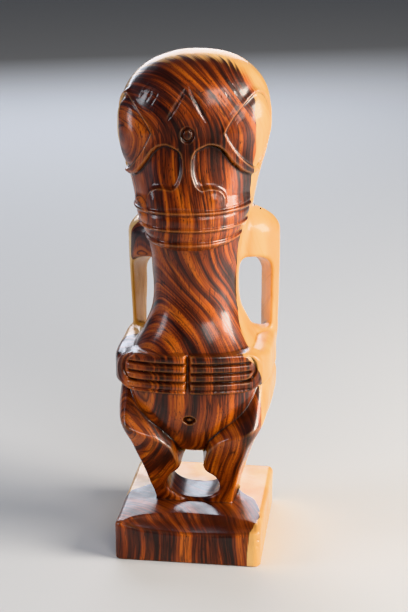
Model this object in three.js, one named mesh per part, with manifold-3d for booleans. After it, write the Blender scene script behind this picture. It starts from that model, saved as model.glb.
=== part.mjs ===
// A hand-carved wooden tiki statue: big head, hands on the belly, bent knees, square base.
// Units are millimetres. +Z is up, the face looks along -Y, +X is the viewer's right.
// The origin is the middle of the base's underside.

import * as THREE from 'three';
import { LoftGeometry } from 'three/addons/geometries/LoftGeometry.js';
import * as BufferGeometryUtils from 'three/addons/utils/BufferGeometryUtils.js';
import Module from 'manifold-3d';

const wasm = await Module();
wasm.setup();

// Driving dimensions of the whole figure.
const STATUE_HEIGHT = 200;
const BASE_WIDTH = 58.4;
const BASE_DEPTH = 62;
const BASE_HEIGHT = 16.4;
const SHOULDER_HALF_WIDTH = 30.7;
const HEAD_HALF_WIDTH = 28.6;
const BELT_HALF_WIDTH = 30.9;
const KNEE_HALF_WIDTH = 30.7;
const WAIST_HALF_WIDTH = 16.6;

// The carver's lines drop a little towards the figure's right hand (the viewer's left).
const LEAN = 0.03;
const LEAN_START = 45;
const LEAN_FULL = 75;

// Head: half width, front and back of the level section at each height, and how square it is.
const CROWN_SPRING = 176;
const CROWN_POWER = 2.25;
const HEAD_CENTRE_Y = -1;
const HEAD_STATIONS = [
  { z: 127.0, half: 14.2, front: -23.6, back: 20.5, square: 2.3 },
  { z: 129.0, half: 17.2, front: -25.9, back: 20.8, square: 2.4 },
  { z: 131.0, half: 18.9, front: -26.9, back: 21.0, square: 2.4 },
  { z: 134.0, half: 20.4, front: -27.6, back: 21.2, square: 2.5 },
  { z: 138.0, half: 21.6, front: -27.9, back: 21.6, square: 2.5 },
  { z: 144.0, half: 22.9, front: -27.5, back: 22.2, square: 2.5 },
  { z: 150.0, half: 24.1, front: -26.6, back: 22.8, square: 2.45 },
  { z: 158.0, half: 25.9, front: -25.6, back: 23.3, square: 2.35 },
  { z: 165.0, half: 27.4, front: -24.7, back: 23.5, square: 2.3 },
  { z: 170.0, half: 28.4, front: -24.1, back: 23.4, square: 2.3 },
  { z: CROWN_SPRING, half: HEAD_HALF_WIDTH, front: -24.0, back: 23.0, square: 2.3 },
];

// Mouth: three raised beads with two bands between them, wrapping round the jaw.
const MOUTH_BEADS = [
  { z: 143.1, halfHeight: 0.9, height: 0.75 },
  { z: 136.5, halfHeight: 0.7, height: 0.5 },
  { z: 130.2, halfHeight: 1.1, height: 0.55 },
];
const MOUTH_SLOT = { low: 131.4, high: 135.7, depth: 0.9 };
const LIP_BAND = { low: 137.3, high: 142.0, depth: 0.35 };
const MOUTH_WRAP_START = 75;
const MOUTH_WRAP_END = 110;

// The face chart runs round the head: u is this radius times the angle from the nose.
const CHART_RADIUS = 26;
const EYE = {
  inner: [14.6, 172.2],
  top: [29, 186.2],
  bottom: [30, 156.4],
  upperPull: [19, 182],
  lowerPull: [19.5, 160.3],
  outerReach: 43,
  rimHeight: 0.45,
  valleyDepth: 0.5,
  bulge: 1.2,
};
const BROW_ARCH = [[1.9, 163.5], [3.3, 166], [6, 167.4], [9, 168.3], [12.5, 167.7], [15.5, 165.5],
  [18.2, 161.8], [23, 157.6], [29, 155.3], [36, 154.6]];
const NOSE_EDGE = [[1.9, 158.5], [2.5, 155.4], [3.6, 152.8], [6, 151.5], [10, 151.9], [13.6, 151.3],
  [15.2, 149.6], [15.9, 147.4], [16.3, 144.6], [36, 144.8]];
const CHEEK_DEPTH = 1.8;
const CHEEK_FADE_START = 26;
const FOREHEAD_CUT = { start: [0.3, 189.6], end: [8.4, 176.2], width: 2.2, depth: 1.0 };
const FOREHEAD_RING = { u: 0.2, z: 171.8, radius: 2.4, width: 0.9, depth: 0.7 };

// Trunk: belly, flared skirt above the hands, narrow waist, chest.
const TRUNK_STATIONS = [
  { z: 38, half: 7, front: -8, back: 12, square: 2.2 },
  { z: 41, half: 13, front: -12.5, back: 15, square: 2.2 },
  { z: 46, half: 18.5, front: -17.5, back: 18, square: 2.2 },
  { z: 52, half: 22.2, front: -21, back: 20, square: 2.4 },
  { z: 60, half: 24.6, front: -24, back: 21, square: 2.8 },
  { z: 68, half: 25.8, front: -24.8, back: 21, square: 3.2 },
  { z: 76, half: 26, front: -24.4, back: 20.5, square: 3.4 },
  { z: 82, half: 25, front: -24.2, back: 20, square: 3.6 },
  { z: 86, half: 23.2, front: -23.6, back: 19.8, square: 3.5 },
  { z: 89, half: 21.5, front: -21.8, back: 19.6, square: 3.1 },
  { z: 93, half: 19.7, front: -19.9, back: 19.5, square: 2.6 },
  { z: 97, half: 18.1, front: -18.5, back: 19.5, square: 2.3 },
  { z: 103, half: 16.9, front: -17.3, back: 19.7, square: 2.2 },
  { z: 109, half: WAIST_HALF_WIDTH, front: -16.8, back: 20, square: 2.2 },
  { z: 115, half: 17, front: -16.9, back: 20.5, square: 2.2 },
  { z: 121, half: 17.4, front: -17.4, back: 21, square: 2.2 },
  { z: 127, half: 18.4, front: -18.4, back: 21.5, square: 2.2 },
  { z: 133, half: 19.5, front: -18, back: 22, square: 2.2 },
];

// Shoulders and upper arms are one slab behind the trunk, with a tunnel on either side.
const SHIELD_CENTRE_Y = 18;
const SHIELD_FRONT_SQUARE = 2;
const SHIELD_BACK_SQUARE = 4;
const SHIELD_STATIONS = [
  { z: 74.5, x: 1.2, half: 27, front: 5, back: 23 },
  { z: 76.5, x: 1.2, half: 28.6, front: 4, back: 24.6 },
  { z: 80, x: 1.2, half: 29.6, front: 2, back: 25.6 },
  { z: 88, x: 1.2, half: 29.9, front: 0, back: 26 },
  { z: 100, x: 1, half: 30.3, front: 0, back: 26 },
  { z: 118, x: 0.8, half: SHOULDER_HALF_WIDTH, front: 0, back: 26 },
  { z: 124, x: 0.7, half: SHOULDER_HALF_WIDTH, front: 0, back: 26 },
  { z: 128, x: 0.7, half: 29.6, front: 0, back: 26 },
  { z: 131, x: 0.7, half: 26.8, front: 1, back: 25.8 },
  { z: 133.4, x: 0.7, half: 22.6, front: 2.5, back: 25 },
  { z: 135.6, x: 0.7, half: 17, front: 5, back: 23.2 },
  { z: 136.6, x: 0.7, half: 13, front: 8, back: 21.5 },
];
const ARM_GAP = {
  inner: 12,
  outer: 28.6,
  outerTaper: 0.42,
  top: 114.4,
  topTaper: 0.26,
  archRise: 6.5,
  archSquare: 2.6,
  sections: [{ y: 0.5, floor: 85.4 }, { y: 15, floor: 85.4 }, { y: 20, floor: 83 }, { y: 30, floor: 77 }],
};
const SPINE_TROUGH = { half: 19, floorY: 21.3, bottom: 66, spring: 108, top: 125 };

// Forearms: a belt round the hips that ends under the hands.
const BELT_CENTRE_Y = 4;
const BELT_SQUARE = 6;
const BELT_RINGS = [
  { z: 71.2, inset: 3, sag: 1 },
  { z: 72.1, inset: 1.2, sag: 1 },
  { z: 74.2, inset: 0.2, sag: 0.7 },
  { z: 78.6, inset: 0, sag: 0.2 },
  { z: 81.8, inset: 0.3, sag: 0 },
  { z: 83.9, inset: 1.5, sag: 0 },
  { z: 84.8, inset: 3.3, sag: 0 },
];
const BELT_SAG = 3.2;
const BELT_FRONT = -21.8;
const BELT_BACK = 25.5;

// Hands: one raised slab across the belly, split in the middle, with four fingers each side.
const HANDS = {
  halfLength: 28.8,
  straightHalf: 19,
  centreZ: 78.3,
  halfHeight: 8,
  endSquare: 2.6,
  frontY: -26.2,
  wrap: 6.2,
  wrapPower: 2.3,
  backY: -13,
};
const FINGER_LINES = [82.3, 78.6, 75.0, 71.5];
const FINGER_START = 1.4;
const FINGER_END = 23.6;
const FINGER_CUT = { width: 1.3, depth: 0.75 };
const HAND_SPLIT = { width: 2.2, depth: 1.2 };

// Legs: side profile by distance from the middle, and the outer edge by height.
const KNEE_RIDGE = [
  { u: 0, z: 33, y: -14 },
  { u: 4.5, z: 35, y: -16 },
  { u: 6.1, z: 39.4, y: -19.2 },
  { u: 7.6, z: 43.6, y: -21.2 },
  { u: 9.6, z: 46.2, y: -22.2 },
  { u: 12, z: 48.4, y: -23.4 },
  { u: 16, z: 50.8, y: -24.6 },
  { u: 20.5, z: 52.5, y: -25.3 },
  { u: 24, z: 54, y: -25.4 },
  { u: 26.5, z: 55.3, y: -24.6 },
  { u: 28.5, z: 56.8, y: -22 },
  { u: 32, z: 59, y: -13 },
];
const LEG_OUTER = [[16.5, 15], [17.5, 21], [19, 26], [20.7, 32], [22.6, 37.5], [24.4, 42], [26.2, 47],
  [28, 51], [29.2, 54], [30.2, 57.5], [30.7, 63], [30.4, 69], [29, 72.5]];
const LEG_FLARE = { low: 0.0048, high: 0.0012, from: 45, to: 58 };
const FOOT_FRONT = -8.2;
const FOOT_BACK = 11;
const CALF_BACK = 10;
const HIP_BACK = 21;
const HIP_TOP = 72;
const HIP_DROP = 3.8;
const LEG_HOLE = { half: 11.2, centreZ: 25.8, halfHeight: 8.1, square: 2.6, neckHalf: 4.9, neckTop: 39.2 };

// Base: rounded block, its front top edge worn hollow in the middle.
const BASE_EDGE = 2.2;
const BASE_HOLLOW = { x: 2, half: 27, reach: 10.5, depth: 3.4 };

const NAVEL = { x: 0.4, z: 58.6, radius: 1.9, width: 0.9, depth: 0.7 };

// A smooth curve through rows [key, value], level at the ends of each rise.
function smoothThrough(rows, key) {
  const last = rows.length - 1;
  const clamped = THREE.MathUtils.clamp(key, rows[0][0], rows[last][0]);
  let i = 0;
  while (i < last - 1 && clamped > rows[i + 1][0]) {
    i += 1;
  }
  const slopeOf = (j) => (rows[j + 1][1] - rows[j][1]) / (rows[j + 1][0] - rows[j][0]);
  const tangentAt = (j) => {
    if (j === 0) {
      return slopeOf(0);
    }
    if (j === last) {
      return slopeOf(last - 1);
    }
    const before = rows[j][0] - rows[j - 1][0];
    const after = rows[j + 1][0] - rows[j][0];
    const turns = slopeOf(j - 1) * slopeOf(j) <= 0;
    return turns ? 0 : (slopeOf(j - 1) * after + slopeOf(j) * before) / (before + after);
  };
  const span = rows[i + 1][0] - rows[i][0];
  const s = (clamped - rows[i][0]) / span;
  return rows[i][1] * (1 + 2 * s) * (1 - s) ** 2
    + tangentAt(i) * span * s * (1 - s) ** 2
    + rows[i + 1][1] * s * s * (3 - 2 * s)
    + tangentAt(i + 1) * span * s * s * (s - 1);
}

function stationAt(stations, z) {
  const read = (name) => smoothThrough(stations.map((row) => [row.z, row[name]]), z);
  return { z, half: read('half'), front: read('front'), back: read('back'), square: read('square') };
}

// Distance from the section's middle to its rounded-square outline, in one direction.
function outlineRadius(angle, half, depth, square) {
  const across = Math.abs(Math.sin(angle) / half) ** square;
  const along = Math.abs(Math.cos(angle) / depth) ** square;
  return (across + along) ** (-1 / square);
}

// One level ring of a column. Angle 0 is the front, and the ring turns towards +X.
function levelRing(section, centreY, columns, relief = () => 0) {
  const points = [];
  for (let k = 0; k < columns; k += 1) {
    const angle = (2 * Math.PI * k) / columns;
    const inFront = Math.cos(angle) > 0;
    const depth = inFront ? centreY - section.front : section.back - centreY;
    const square = inFront ? section.square : section.backSquare ?? section.square;
    const radius = outlineRadius(angle, section.half, depth, square) + relief(angle, section.z);
    const x = (section.x ?? 0) + Math.sin(angle) * radius;
    points.push(new THREE.Vector3(x, centreY - Math.cos(angle) * radius, section.z));
  }
  return points;
}

function loft(sections) {
  return new LoftGeometry(sections, { closed: true, capStart: true, capEnd: true });
}

// A copy of a shape with its level lines tipped by the lean, or first turned into its mirror image.
function leaned(geometry, side = 1) {
  const position = geometry.getAttribute('position').clone();
  for (let i = 0; i < position.count; i += 1) {
    const x = position.getX(i) * side;
    const z = position.getZ(i);
    const share = THREE.MathUtils.clamp((z - LEAN_START) / (LEAN_FULL - LEAN_START), 0, 1);
    position.setX(i, x);
    position.setZ(i, z + LEAN * x * share);
  }
  const index = Array.from(geometry.getIndex().array);
  const copy = new THREE.BufferGeometry();
  copy.setAttribute('position', position);
  copy.setIndex(side < 0 ? index.reverse() : index);
  return copy;
}

function solidOf(geometry) {
  const bare = new THREE.BufferGeometry();
  bare.setAttribute('position', geometry.getAttribute('position'));
  bare.setIndex(geometry.getIndex());
  const merged = BufferGeometryUtils.mergeVertices(bare, 1e-4);
  const vertProperties = new Float32Array(merged.getAttribute('position').array);
  const triVerts = new Uint32Array(merged.getIndex().array);
  return new wasm.Manifold(new wasm.Mesh({ numProp: 3, vertProperties, triVerts }));
}

// Both sides of a feature that the carver repeated left and right.
function bothSides(geometry) {
  return solidOf(leaned(geometry)).add(solidOf(leaned(geometry, -1)));
}

// Head.
function headSection(z) {
  if (z <= CROWN_SPRING) {
    return stationAt(HEAD_STATIONS, z);
  }
  const spring = stationAt(HEAD_STATIONS, CROWN_SPRING);
  const rise = (z - CROWN_SPRING) / (STATUE_HEIGHT - CROWN_SPRING);
  const share = (1 - rise ** CROWN_POWER) ** (1 / CROWN_POWER);
  return {
    z,
    half: spring.half * share,
    front: HEAD_CENTRE_Y + (spring.front - HEAD_CENTRE_Y) * share,
    back: HEAD_CENTRE_Y + (spring.back - HEAD_CENTRE_Y) * share,
    square: spring.square,
  };
}

function mouthRelief(angle, z) {
  const fromNose = THREE.MathUtils.radToDeg(Math.min(angle, 2 * Math.PI - angle));
  const wrap = 1 - THREE.MathUtils.smoothstep(fromNose, MOUTH_WRAP_START, MOUTH_WRAP_END);
  let relief = 0;
  for (const bead of MOUTH_BEADS) {
    const offset = Math.abs(z - bead.z) / bead.halfHeight;
    relief += offset < 1 ? bead.height * Math.sqrt(1 - offset * offset) : 0;
  }
  for (const hollow of [MOUTH_SLOT, LIP_BAND]) {
    const inside = z > hollow.low && z < hollow.high;
    relief -= inside ? hollow.depth : 0;
  }
  return relief * wrap;
}

function headHeights() {
  const heights = [127.0, 127.6, 128.3];
  for (const bead of MOUTH_BEADS.slice().reverse()) {
    heights.push(bead.z - bead.halfHeight, bead.z, bead.z + bead.halfHeight);
  }
  heights.push(MOUTH_SLOT.low + 0.05, MOUTH_SLOT.high - 0.05, LIP_BAND.low + 0.05, LIP_BAND.high - 0.05);
  heights.push(147, 152, 158, 164, 170, CROWN_SPRING);
  for (let step = 1; step <= 9; step += 1) {
    heights.push(CROWN_SPRING + (STATUE_HEIGHT - CROWN_SPRING) * Math.sin((step / 9.5) * (Math.PI / 2)));
  }
  heights.push(STATUE_HEIGHT);
  return heights.sort((a, b) => a - b);
}

function facePoint(u, z, lift) {
  const section = headSection(z);
  const angle = u / CHART_RADIUS;
  const depth = Math.cos(angle) > 0 ? HEAD_CENTRE_Y - section.front : section.back - HEAD_CENTRE_Y;
  const radius = outlineRadius(angle, section.half, depth, section.square) + lift;
  return new THREE.Vector3(Math.sin(angle) * radius, HEAD_CENTRE_Y - Math.cos(angle) * radius, z);
}

function buildHead() {
  const columns = 36;
  const rings = [];
  for (const z of headHeights()) {
    const section = headSection(Math.min(z, STATUE_HEIGHT - 0.02));
    section.z = z;
    rings.push(levelRing(section, HEAD_CENTRE_Y, columns, mouthRelief));
  }
  return solidOf(leaned(loft(rings)));
}

// The eye is a rounded leaf with a corner towards the nose, a raised rim and a bulging ball.
function eyeOutline() {
  const point = ([u, z]) => new THREE.Vector2(u, z);
  const upper = new THREE.QuadraticBezierCurve(point(EYE.top), point(EYE.upperPull), point(EYE.inner));
  const lower = new THREE.QuadraticBezierCurve(point(EYE.inner), point(EYE.lowerPull), point(EYE.bottom));
  const outer = new THREE.CubicBezierCurve(
    point(EYE.bottom),
    new THREE.Vector2(EYE.outerReach, EYE.bottom[1]),
    new THREE.Vector2(EYE.outerReach, EYE.top[1]),
    point(EYE.top),
  );
  const points = [];
  for (const [curve, steps] of [[upper, 7], [lower, 7], [outer, 10]]) {
    points.push(...curve.getPoints(steps).slice(0, -1));
  }
  return points;
}

function buildEye() {
  const outline = eyeOutline();
  const centre = outline.reduce((sum, p) => sum.add(p), new THREE.Vector2()).divideScalar(outline.length);
  const ring = (scale, lift) => outline.map((p) => {
    const q = centre.clone().lerp(p, scale);
    return facePoint(q.x, q.y, lift);
  });
  return loft([
    ring(1.0, -2.5),
    ring(1.0, EYE.rimHeight),
    ring(0.93, EYE.rimHeight),
    ring(0.88, -EYE.valleyDepth),
    ring(0.68, EYE.bulge * 0.6),
    ring(0.3, EYE.bulge),
  ]);
}

// The cheek is sunk below the brow and beside the nose. Its floor runs out to nothing at the side.
function buildCheekCut() {
  const stations = [2.0, 2.4, 3.2, 4.5, 6, 8, 10, 12, 13.8, 15.2, 15.9, 16.4, 18, 20.5, 23, 26, 29, 32, 35];
  const sections = stations.map((u) => {
    const top = smoothThrough(BROW_ARCH, u);
    const bottom = smoothThrough(NOSE_EDGE, u);
    const fade = 1 - THREE.MathUtils.smoothstep(u, CHEEK_FADE_START, 36);
    const depth = 0.05 + CHEEK_DEPTH * fade;
    const rows = [[top, 2], [top, -depth * 0.9], [top - 1, -depth]];
    for (const share of [0.66, 0.33]) {
      rows.push([THREE.MathUtils.lerp(bottom, top, share), -depth]);
    }
    rows.push([bottom + 1.6, -depth * 0.8], [bottom, -0.15], [bottom, 2]);
    return rows.map(([z, lift]) => facePoint(u, z, lift)).reverse();
  });
  return loft(sections);
}

// A chip cut with a V section along a path of surface points and outward normals.
function vCut(path, width, depth) {
  const lip = 0.5;
  const sections = path.map(({ point, normal, share = 1 }, i) => {
    const before = path[Math.max(i - 1, 0)].point;
    const after = path[Math.min(i + 1, path.length - 1)].point;
    const along = after.clone().sub(before).normalize();
    const side = new THREE.Vector3().crossVectors(along, normal).normalize();
    const halfTop = (width / 2) * share * (1 + lip / (depth * share));
    return [
      point.clone().addScaledVector(normal, -depth * share),
      point.clone().addScaledVector(side, -halfTop).addScaledVector(normal, lip),
      point.clone().addScaledVector(side, halfTop).addScaledVector(normal, lip),
    ];
  });
  return loft(sections);
}

function faceNormal(u, z) {
  const du = facePoint(u + 0.1, z, 0).sub(facePoint(u - 0.1, z, 0));
  const dz = facePoint(u, z + 0.1, 0).sub(facePoint(u, z - 0.1, 0));
  return du.cross(dz).normalize();
}

function buildForeheadCut() {
  const path = [];
  for (let step = 0; step <= 8; step += 1) {
    const s = step / 8;
    const u = THREE.MathUtils.lerp(FOREHEAD_CUT.start[0], FOREHEAD_CUT.end[0], s);
    const z = THREE.MathUtils.lerp(FOREHEAD_CUT.start[1], FOREHEAD_CUT.end[1], s);
    const share = Math.max(Math.sin(Math.PI * s), 0.08);
    path.push({ point: facePoint(u, z, 0), normal: faceNormal(u, z), share });
  }
  return vCut(path, FOREHEAD_CUT.width, FOREHEAD_CUT.depth);
}

// A round groove that leaves a button in its middle.
function ringCut(point, normal, radius, width, depth) {
  const lip = 0.6;
  const half = width / 2;
  const profile = [
    new THREE.Vector2(radius, -depth),
    new THREE.Vector2(radius + half, 0),
    new THREE.Vector2(radius + half, lip),
    new THREE.Vector2(radius - half, lip),
    new THREE.Vector2(radius - half, 0),
    new THREE.Vector2(radius, -depth),
  ];
  const geometry = new THREE.LatheGeometry(profile, 20);
  const turn = new THREE.Quaternion().setFromUnitVectors(new THREE.Vector3(0, 1, 0), normal);
  geometry.applyQuaternion(turn);
  geometry.translate(point.x, point.y, point.z);
  return geometry;
}

// Trunk, shoulders, arms.
function buildTrunk() {
  const heights = [38, 39.5, 41.5, 44, 48, 53, 59, 66, 73, 81, 84, 86.5, 89, 92, 95.5, 100, 106, 113, 121, 133];
  return solidOf(leaned(loft(heights.map((z) => levelRing(stationAt(TRUNK_STATIONS, z), 0, 32)))));
}

function archLoft(sections) {
  return loft(sections.map(({ y, inner, outer, floor, top, rise, square }) => {
    const middle = (inner + outer) / 2;
    const half = (outer - inner) / 2;
    const spring = top - rise;
    const points = [];
    for (let step = 0; step <= 10; step += 1) {
      const angle = (Math.PI * step) / 10;
      const radius = (Math.abs(Math.cos(angle)) ** square + Math.abs(Math.sin(angle)) ** square) ** (-1 / square);
      points.push([middle + half * radius * Math.cos(angle), spring + rise * radius * Math.sin(angle)]);
    }
    points.push([inner, floor], [outer, floor]);
    return points.map(([x, z]) => new THREE.Vector3(x, y, z)).reverse();
  }));
}

function buildArmGap() {
  return archLoft(ARM_GAP.sections.map(({ y, floor }) => ({
    y,
    inner: ARM_GAP.inner,
    outer: ARM_GAP.outer - ARM_GAP.outerTaper * (y - 13),
    floor,
    top: ARM_GAP.top - ARM_GAP.topTaper * (y - 15),
    rise: ARM_GAP.archRise,
    square: ARM_GAP.archSquare,
  })));
}

function buildShield() {
  const rings = SHIELD_STATIONS.map((row) => levelRing(
    { ...row, square: SHIELD_FRONT_SQUARE, backSquare: SHIELD_BACK_SQUARE },
    SHIELD_CENTRE_Y,
    32,
  ));
  const trough = (y, grow) => ({
    y,
    inner: -SPINE_TROUGH.half - grow,
    outer: SPINE_TROUGH.half + grow,
    floor: SPINE_TROUGH.bottom - grow,
    top: SPINE_TROUGH.top + grow,
    rise: SPINE_TROUGH.top - SPINE_TROUGH.spring,
    square: 2.4,
  });
  const hollow = archLoft([
    trough(SPINE_TROUGH.floorY, 0),
    trough(SPINE_TROUGH.floorY + 7, 4),
  ]);
  return solidOf(leaned(loft(rings))).subtract(solidOf(leaned(hollow)));
}

// The forearms' lower edge drops towards the elbows.
function buildBelt() {
  const rings = BELT_RINGS.map(({ z, inset, sag }) => {
    const section = {
      z,
      half: BELT_HALF_WIDTH - inset,
      front: BELT_FRONT + inset,
      back: BELT_BACK - inset,
      square: BELT_SQUARE,
    };
    const ring = levelRing(section, BELT_CENTRE_Y, 36);
    for (const point of ring) {
      point.z -= BELT_SAG * sag * THREE.MathUtils.smoothstep(point.y, BELT_FRONT, BELT_BACK);
    }
    return ring;
  });
  const behind = SPINE_TROUGH.half;
  const trough = archLoft([
    { y: 20.6, inner: -behind, outer: behind, floor: 66, top: 92, rise: 4, square: 2.4 },
    { y: 27, inner: -behind - 2, outer: behind + 2, floor: 66, top: 92, rise: 4, square: 2.4 },
  ]);
  return solidOf(leaned(loft(rings))).subtract(solidOf(leaned(trough)));
}

// Hands.
function handFront(x) {
  return HANDS.frontY + HANDS.wrap * (Math.abs(x) / HANDS.halfLength) ** HANDS.wrapPower;
}

function handSection(x) {
  const beyond = Math.max(Math.abs(x) - HANDS.straightHalf, 0) / (HANDS.halfLength - HANDS.straightHalf);
  const share = (1 - Math.min(beyond, 0.995) ** HANDS.endSquare) ** (1 / HANDS.endSquare);
  const halfHeight = HANDS.halfHeight * share;
  const front = handFront(x);
  const round = Math.min(0.9, halfHeight * 0.5);
  const rows = [[HANDS.backY, 1], [front + round, 1], [front, 1 - round / halfHeight],
    [front, -1 + round / halfHeight], [front + round, -1], [HANDS.backY, -1]];
  return rows.map(([y, side]) => new THREE.Vector3(x, y, HANDS.centreZ + halfHeight * side));
}

function handPoint(x, z) {
  return new THREE.Vector3(x, handFront(x), z);
}

function handNormal(x) {
  const slope = (handFront(x + 0.1) - handFront(x - 0.1)) / 0.2;
  return new THREE.Vector3(slope, -1, 0).normalize();
}

function buildHands() {
  const stations = [];
  for (let step = -11; step <= 11; step += 1) {
    stations.push(HANDS.halfLength * Math.sin(((step / 11) * Math.PI) / 2));
  }
  let slab = solidOf(leaned(loft(stations.map(handSection))));
  for (const z of FINGER_LINES) {
    const path = [];
    for (let step = 0; step <= 4; step += 1) {
      const x = THREE.MathUtils.lerp(FINGER_START, FINGER_END, step / 4);
      path.push({ point: handPoint(x, z), normal: handNormal(x) });
    }
    slab = slab.subtract(bothSides(vCut(path, FINGER_CUT.width, FINGER_CUT.depth)));
  }
  const rim = [];
  for (let step = 0; step <= 6; step += 1) {
    const angle = THREE.MathUtils.lerp(-0.42, 0.42, step / 6) * Math.PI;
    const x = FINGER_END - 2.2 + 3.4 * Math.cos(angle);
    rim.push({ point: handPoint(x, HANDS.centreZ - 0.6 + 7 * Math.sin(angle)), normal: handNormal(x) });
  }
  slab = slab.subtract(bothSides(vCut(rim, FINGER_CUT.width, FINGER_CUT.depth)));
  const split = [-9, 0, 9].map((offset) => ({
    point: handPoint(0, HANDS.centreZ + offset),
    normal: handNormal(0),
  }));
  return slab.subtract(solidOf(leaned(vCut(split, HAND_SPLIT.width, HAND_SPLIT.depth))));
}

// Legs: the front outline pushed through the side profile.
function legHolePath() {
  const points = [];
  const steps = 18;
  for (let step = 0; step <= steps; step += 1) {
    const angle = THREE.MathUtils.lerp(0.5, 2.5, step / steps) * Math.PI;
    const c = Math.cos(angle);
    const s = Math.sin(angle);
    const radius = (Math.abs(c) ** LEG_HOLE.square + Math.abs(s) ** LEG_HOLE.square) ** (-1 / LEG_HOLE.square);
    const x = LEG_HOLE.half * radius * c;
    const z = LEG_HOLE.centreZ + LEG_HOLE.halfHeight * radius * s;
    if (s < 0 || Math.abs(x) > LEG_HOLE.neckHalf) {
      points.push(new THREE.Vector2(x, z));
    }
  }
  const neck = LEG_HOLE.neckHalf;
  const shoulderZ = LEG_HOLE.centreZ + LEG_HOLE.halfHeight + 0.8;
  for (const [x, z] of [[neck, shoulderZ], [neck, LEG_HOLE.neckTop - 1.5], [neck - 1.5, LEG_HOLE.neckTop]]) {
    points.push(new THREE.Vector2(x, z));
    points.unshift(new THREE.Vector2(-x, z));
  }
  return new THREE.Path(points);
}

function legProfile(x) {
  const u = Math.abs(x);
  const ridgeZ = smoothThrough(KNEE_RIDGE.map((row) => [row.u, row.z]), u);
  const ridgeY = smoothThrough(KNEE_RIDGE.map((row) => [row.u, row.y]), u);
  const thighTopY = Math.min(ridgeY + (HIP_TOP - ridgeZ), HIP_BACK - 8);
  const rows = [[FOOT_FRONT, 14], [FOOT_FRONT, BASE_HEIGHT], [ridgeY, ridgeZ], [thighTopY, HIP_TOP],
    [HIP_BACK - 2, HIP_TOP - HIP_DROP], [HIP_BACK, 63], [HIP_BACK - 1, 56], [15.5, 46], [CALF_BACK + 1.2, 36],
    [CALF_BACK, 25], [FOOT_BACK, 14]];
  return rows.map(([y, z]) => new THREE.Vector3(x, y, z)).reverse();
}

function buildLegs() {
  const outline = new THREE.Shape();
  outline.moveTo(-LEG_OUTER[0][0], LEG_OUTER[0][1]);
  for (const [x, z] of LEG_OUTER) {
    outline.lineTo(x, z);
  }
  for (const [x, z] of LEG_OUTER.slice().reverse()) {
    outline.lineTo(-x, z);
  }
  outline.holes.push(legHolePath());
  const front = new THREE.ExtrudeGeometry(outline, { depth: 70, bevelEnabled: false });
  front.rotateX(Math.PI / 2);
  front.translate(0, 35, 0);
  const position = front.getAttribute('position');
  for (let i = 0; i < position.count; i += 1) {
    const share = THREE.MathUtils.smoothstep(position.getZ(i), LEG_FLARE.from, LEG_FLARE.to);
    const flare = THREE.MathUtils.lerp(LEG_FLARE.low, LEG_FLARE.high, share);
    position.setX(i, position.getX(i) * (1 + flare * position.getY(i)));
  }
  const stations = [];
  for (const row of KNEE_RIDGE.slice().reverse()) {
    stations.push(-row.u);
  }
  for (const row of KNEE_RIDGE.slice(1)) {
    stations.push(row.u);
  }
  return solidOf(front).intersect(solidOf(loft(stations.map(legProfile))));
}

// Base.
function roundedRectangle(halfX, halfY, radius, z) {
  const points = [];
  for (const [sx, sy, start] of [[1, -1, -90], [1, 1, 0], [-1, 1, 90], [-1, -1, 180]]) {
    for (let step = 0; step <= 3; step += 1) {
      const angle = THREE.MathUtils.degToRad(start + step * 30);
      const x = sx * (halfX - radius) + radius * Math.cos(angle);
      points.push(new THREE.Vector3(x, sy * (halfY - radius) + radius * Math.sin(angle), z));
    }
  }
  return points;
}

function buildBase() {
  const rings = [[0, 0.5], [0.5, 0], [BASE_HEIGHT - BASE_EDGE, 0], [BASE_HEIGHT - 0.64 * BASE_EDGE, 0.2 * BASE_EDGE],
    [BASE_HEIGHT - 0.2 * BASE_EDGE, 0.6 * BASE_EDGE], [BASE_HEIGHT, 1.1 * BASE_EDGE]];
  const block = loft(rings.map(([z, inset]) => roundedRectangle(
    BASE_WIDTH / 2 - inset,
    BASE_DEPTH / 2 - inset,
    2.8,
    z,
  )));
  const hollow = new THREE.SphereGeometry(1, 20, 12);
  hollow.scale(BASE_HOLLOW.half, BASE_HOLLOW.reach, BASE_HOLLOW.depth);
  hollow.translate(BASE_HOLLOW.x, -BASE_DEPTH / 2, BASE_HEIGHT);
  return solidOf(block).subtract(solidOf(hollow));
}

function buildNavel() {
  const section = stationAt(TRUNK_STATIONS, NAVEL.z);
  const point = new THREE.Vector3(NAVEL.x, section.front, NAVEL.z);
  const above = stationAt(TRUNK_STATIONS, NAVEL.z + 1).front;
  const below = stationAt(TRUNK_STATIONS, NAVEL.z - 1).front;
  const normal = new THREE.Vector3(0, -2, above - below).normalize();
  return solidOf(leaned(ringCut(point, normal, NAVEL.radius, NAVEL.width, NAVEL.depth)));
}

function buildStatue() {
  const ring = ringCut(
    facePoint(FOREHEAD_RING.u, FOREHEAD_RING.z, 0),
    faceNormal(FOREHEAD_RING.u, FOREHEAD_RING.z),
    FOREHEAD_RING.radius,
    FOREHEAD_RING.width,
    FOREHEAD_RING.depth,
  );
  const head = buildHead()
    .subtract(bothSides(buildCheekCut()))
    .add(bothSides(buildEye()))
    .subtract(bothSides(buildForeheadCut()))
    .subtract(solidOf(leaned(ring)));
  const figure = buildTrunk()
    .subtract(buildNavel())
    .add(buildShield().add(buildBelt()).subtract(bothSides(buildArmGap())))
    .add(buildHands())
    .add(head)
    .add(buildLegs());
  return figure.add(buildBase());
}

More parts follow.
